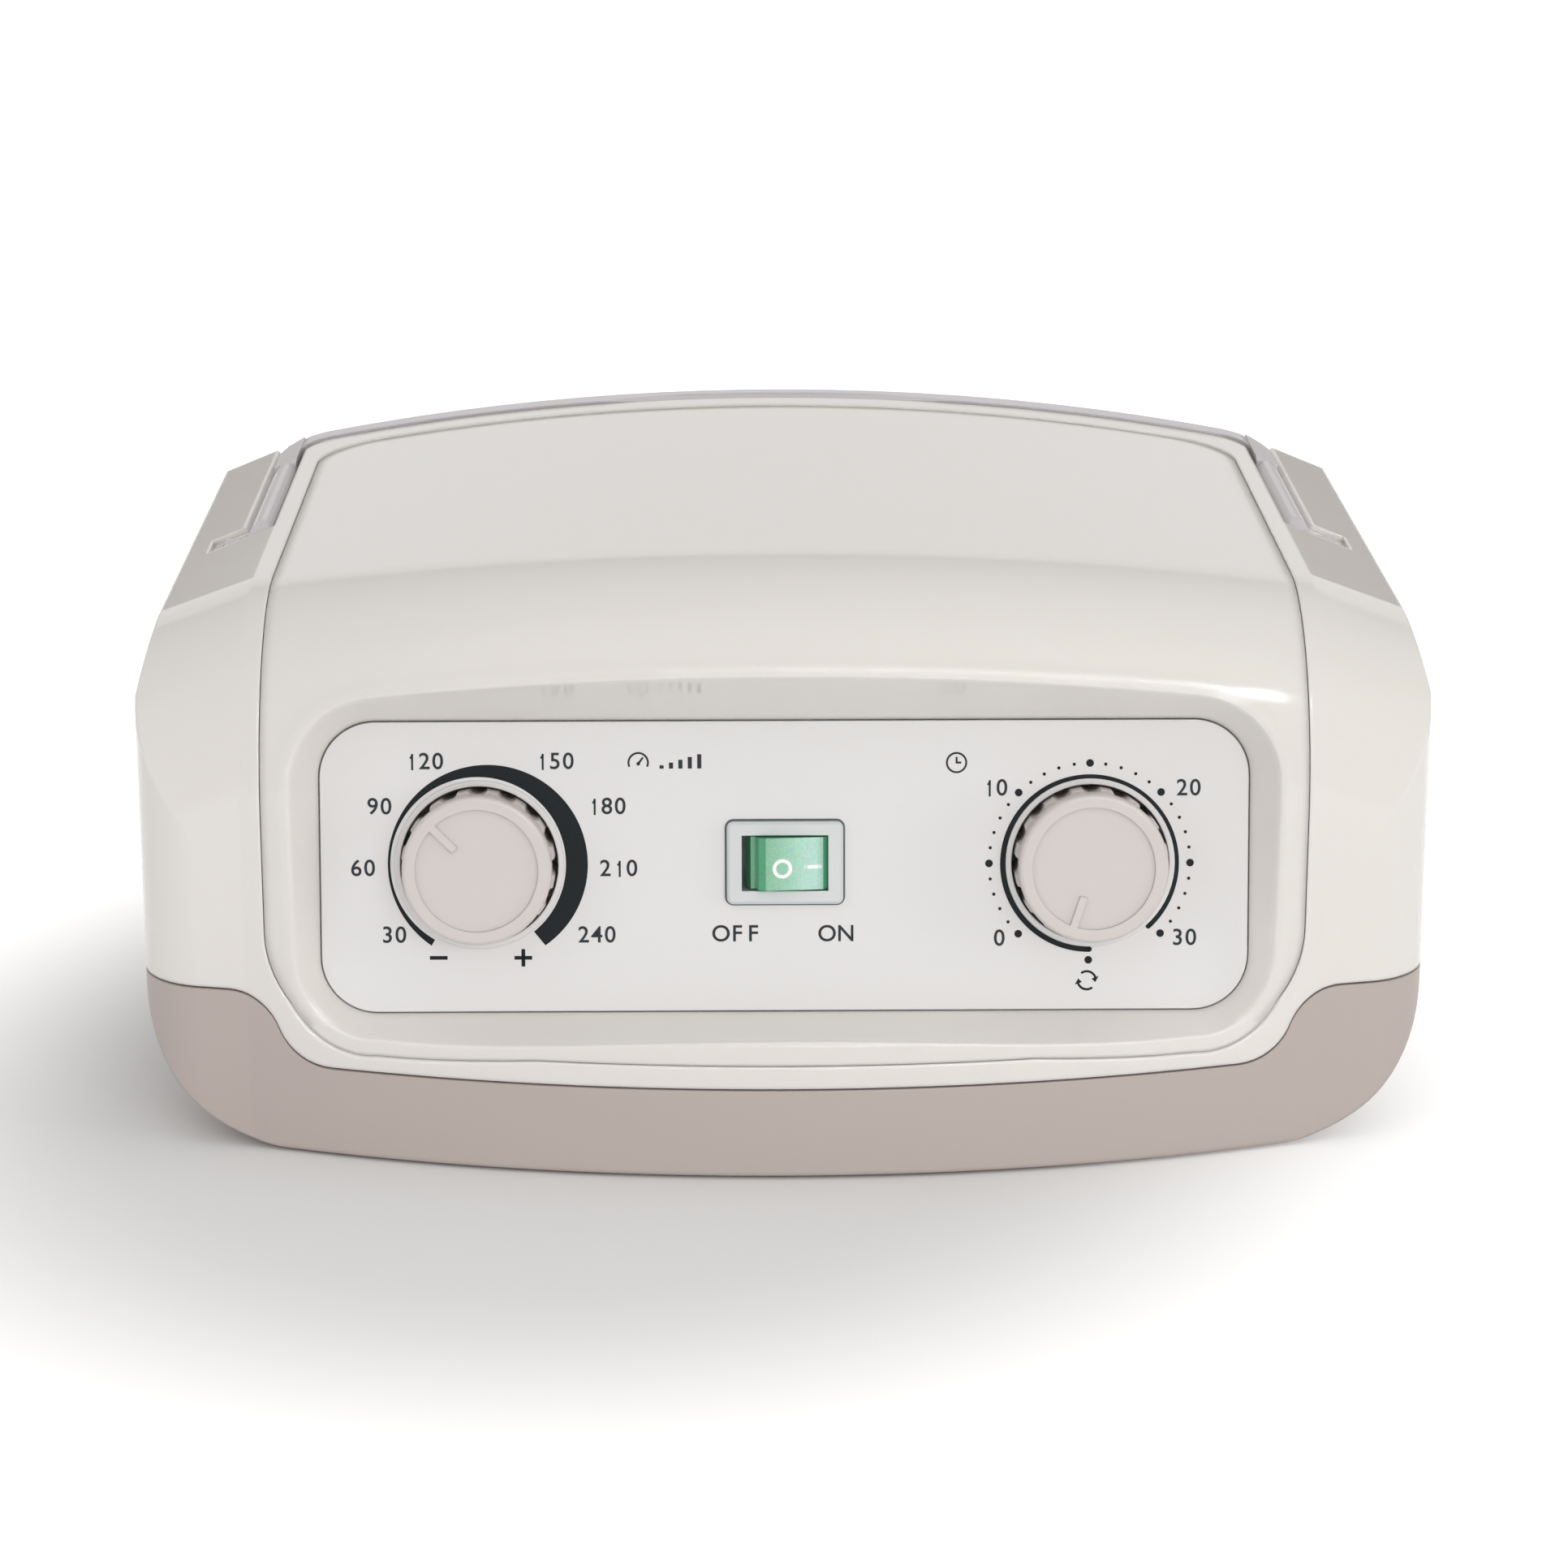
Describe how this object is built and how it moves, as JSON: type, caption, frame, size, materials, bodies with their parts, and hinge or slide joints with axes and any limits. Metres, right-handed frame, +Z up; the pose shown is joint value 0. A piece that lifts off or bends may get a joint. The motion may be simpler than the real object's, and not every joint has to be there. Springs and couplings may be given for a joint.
{
  "type": "compression therapy pump",
  "caption": "Bench-top air compression pump with two dials, a mains rocker switch and a folding carry handle.",
  "frame": {"origin": "on the table under the middle of the pump", "axes": "+X to the right of the control panel, +Y to the rear, +Z up"},
  "size_m": [0.2396, 0.185, 0.1085],
  "materials": {
    "white_gloss": "moulded, polished",
    "panel_print": "printed overlay, satin",
    "taupe_matte": "moulded, fine texture",
    "handle_gloss": "moulded, satin gloss",
    "knob_gloss": "moulded, satin",
    "bezel_gloss": "moulded, glossy",
    "rocker_green": "translucent, lit",
    "steel": "zinc plated",
    "tin_brass": "tinned",
    "copper_wire": "enamelled winding",
    "black_plastic": "moulded",
    "clear_nylon": "moulded, natural",
    "rubber_grey": "moulded",
    "rubber_black": "moulded",
    "silicone": "extruded",
    "cast_alu": "die cast",
    "laminations": "stacked sheet",
    "board_green": "solder mask",
    "fuse_glass": "clear"
  },
  "bodies": {
    "housing": {"upper_housing": "white_gloss", "front_fascia": "white_gloss", "base_tray": "taupe_matte", "rear_panel": "taupe_matte", "control_panel": "panel_print", "pressure_regulator": "cast_alu", "timer_movement": "steel", "dial_nuts": "steel", "switch_body": "bezel_gloss", "switch_terminals": "tin_brass", "inner_hose_socket": "clear_nylon", "outer_hose_socket": "clear_nylon", "mains_inlet": "black_plastic", "inlet_pins": "tin_brass", "inlet_screws": "steel", "fuse_holder": "black_plastic", "rubber_feet": "rubber_grey", "case_screws": "steel", "compressor_frame": "cast_alu", "compressor_mounts": "rubber_black", "compressor_cores": "laminations", "compressor_coils": "copper_wire", "compressor_diaphragms": "rubber_black", "left_head": "black_plastic", "right_head": "black_plastic", "distributor_body": "clear_nylon", "distributor_motor": "steel", "air_manifold": "clear_nylon", "outlet_tubes": "silicone", "supply_tube": "silicone", "regulator_tube": "silicone", "circuit_board": "board_green", "board_screws": "steel", "board_capacitors": "black_plastic", "board_relay": "black_plastic", "terminal_block": "clear_nylon"},
    "handle": {"carry_handle": "handle_gloss"},
    "pressure_dial": {"pressure_knob": "knob_gloss", "regulator_stem": "steel"},
    "timer_dial": {"timer_knob": "knob_gloss", "timer_shaft": "steel"},
    "rocker": {"switch_rocker": "rocker_green"},
    "armature": {"compressor_armature": "steel"},
    "rotor": {"distributor_rotor": "clear_nylon", "motor_shaft": "steel"},
    "fuse_drawer": {"fuse_cap": "black_plastic", "fuse": "fuse_glass"}
  },
  "joints": [
    {"name": "handle_fold", "type": "hinge", "parent": "housing", "child": "handle", "pos_m": [0, 0.0078, 0.0919], "axis": [1, 0, 0], "range_deg": [0, 90]},
    {"name": "pressure_turn", "type": "hinge", "parent": "housing", "child": "pressure_dial", "pos_m": [-0.0552, -0.07021, 0.05245], "axis": [0, -0.9829, 0.184], "range_deg": [-180.7, 89.3]},
    {"name": "timer_turn", "type": "hinge", "parent": "housing", "child": "timer_dial", "pos_m": [0.0552, -0.07021, 0.05245], "axis": [0, -0.9829, 0.184], "range_deg": [-296, 19]},
    {"name": "rocker_tilt", "type": "hinge", "parent": "housing", "child": "rocker", "pos_m": [0, -0.06525, 0.05181], "axis": [0, 0.184, 0.9829], "range_deg": [-24, 0]},
    {"name": "armature_stroke", "type": "slide", "parent": "housing", "child": "armature", "axis": [1, 0, 0], "range_m": [-0.0015, 0.0015]},
    {"name": "rotor_spin", "type": "hinge", "parent": "housing", "child": "rotor", "pos_m": [0.044, 0.02, 0.045], "axis": [0, 1, 0], "continuous": true},
    {"name": "fuse_cap_turn", "type": "hinge", "parent": "housing", "child": "fuse_drawer", "pos_m": [-0.036, 0.08, 0.04], "axis": [0, 1, 0], "range_deg": [0, 90]}
  ]
}
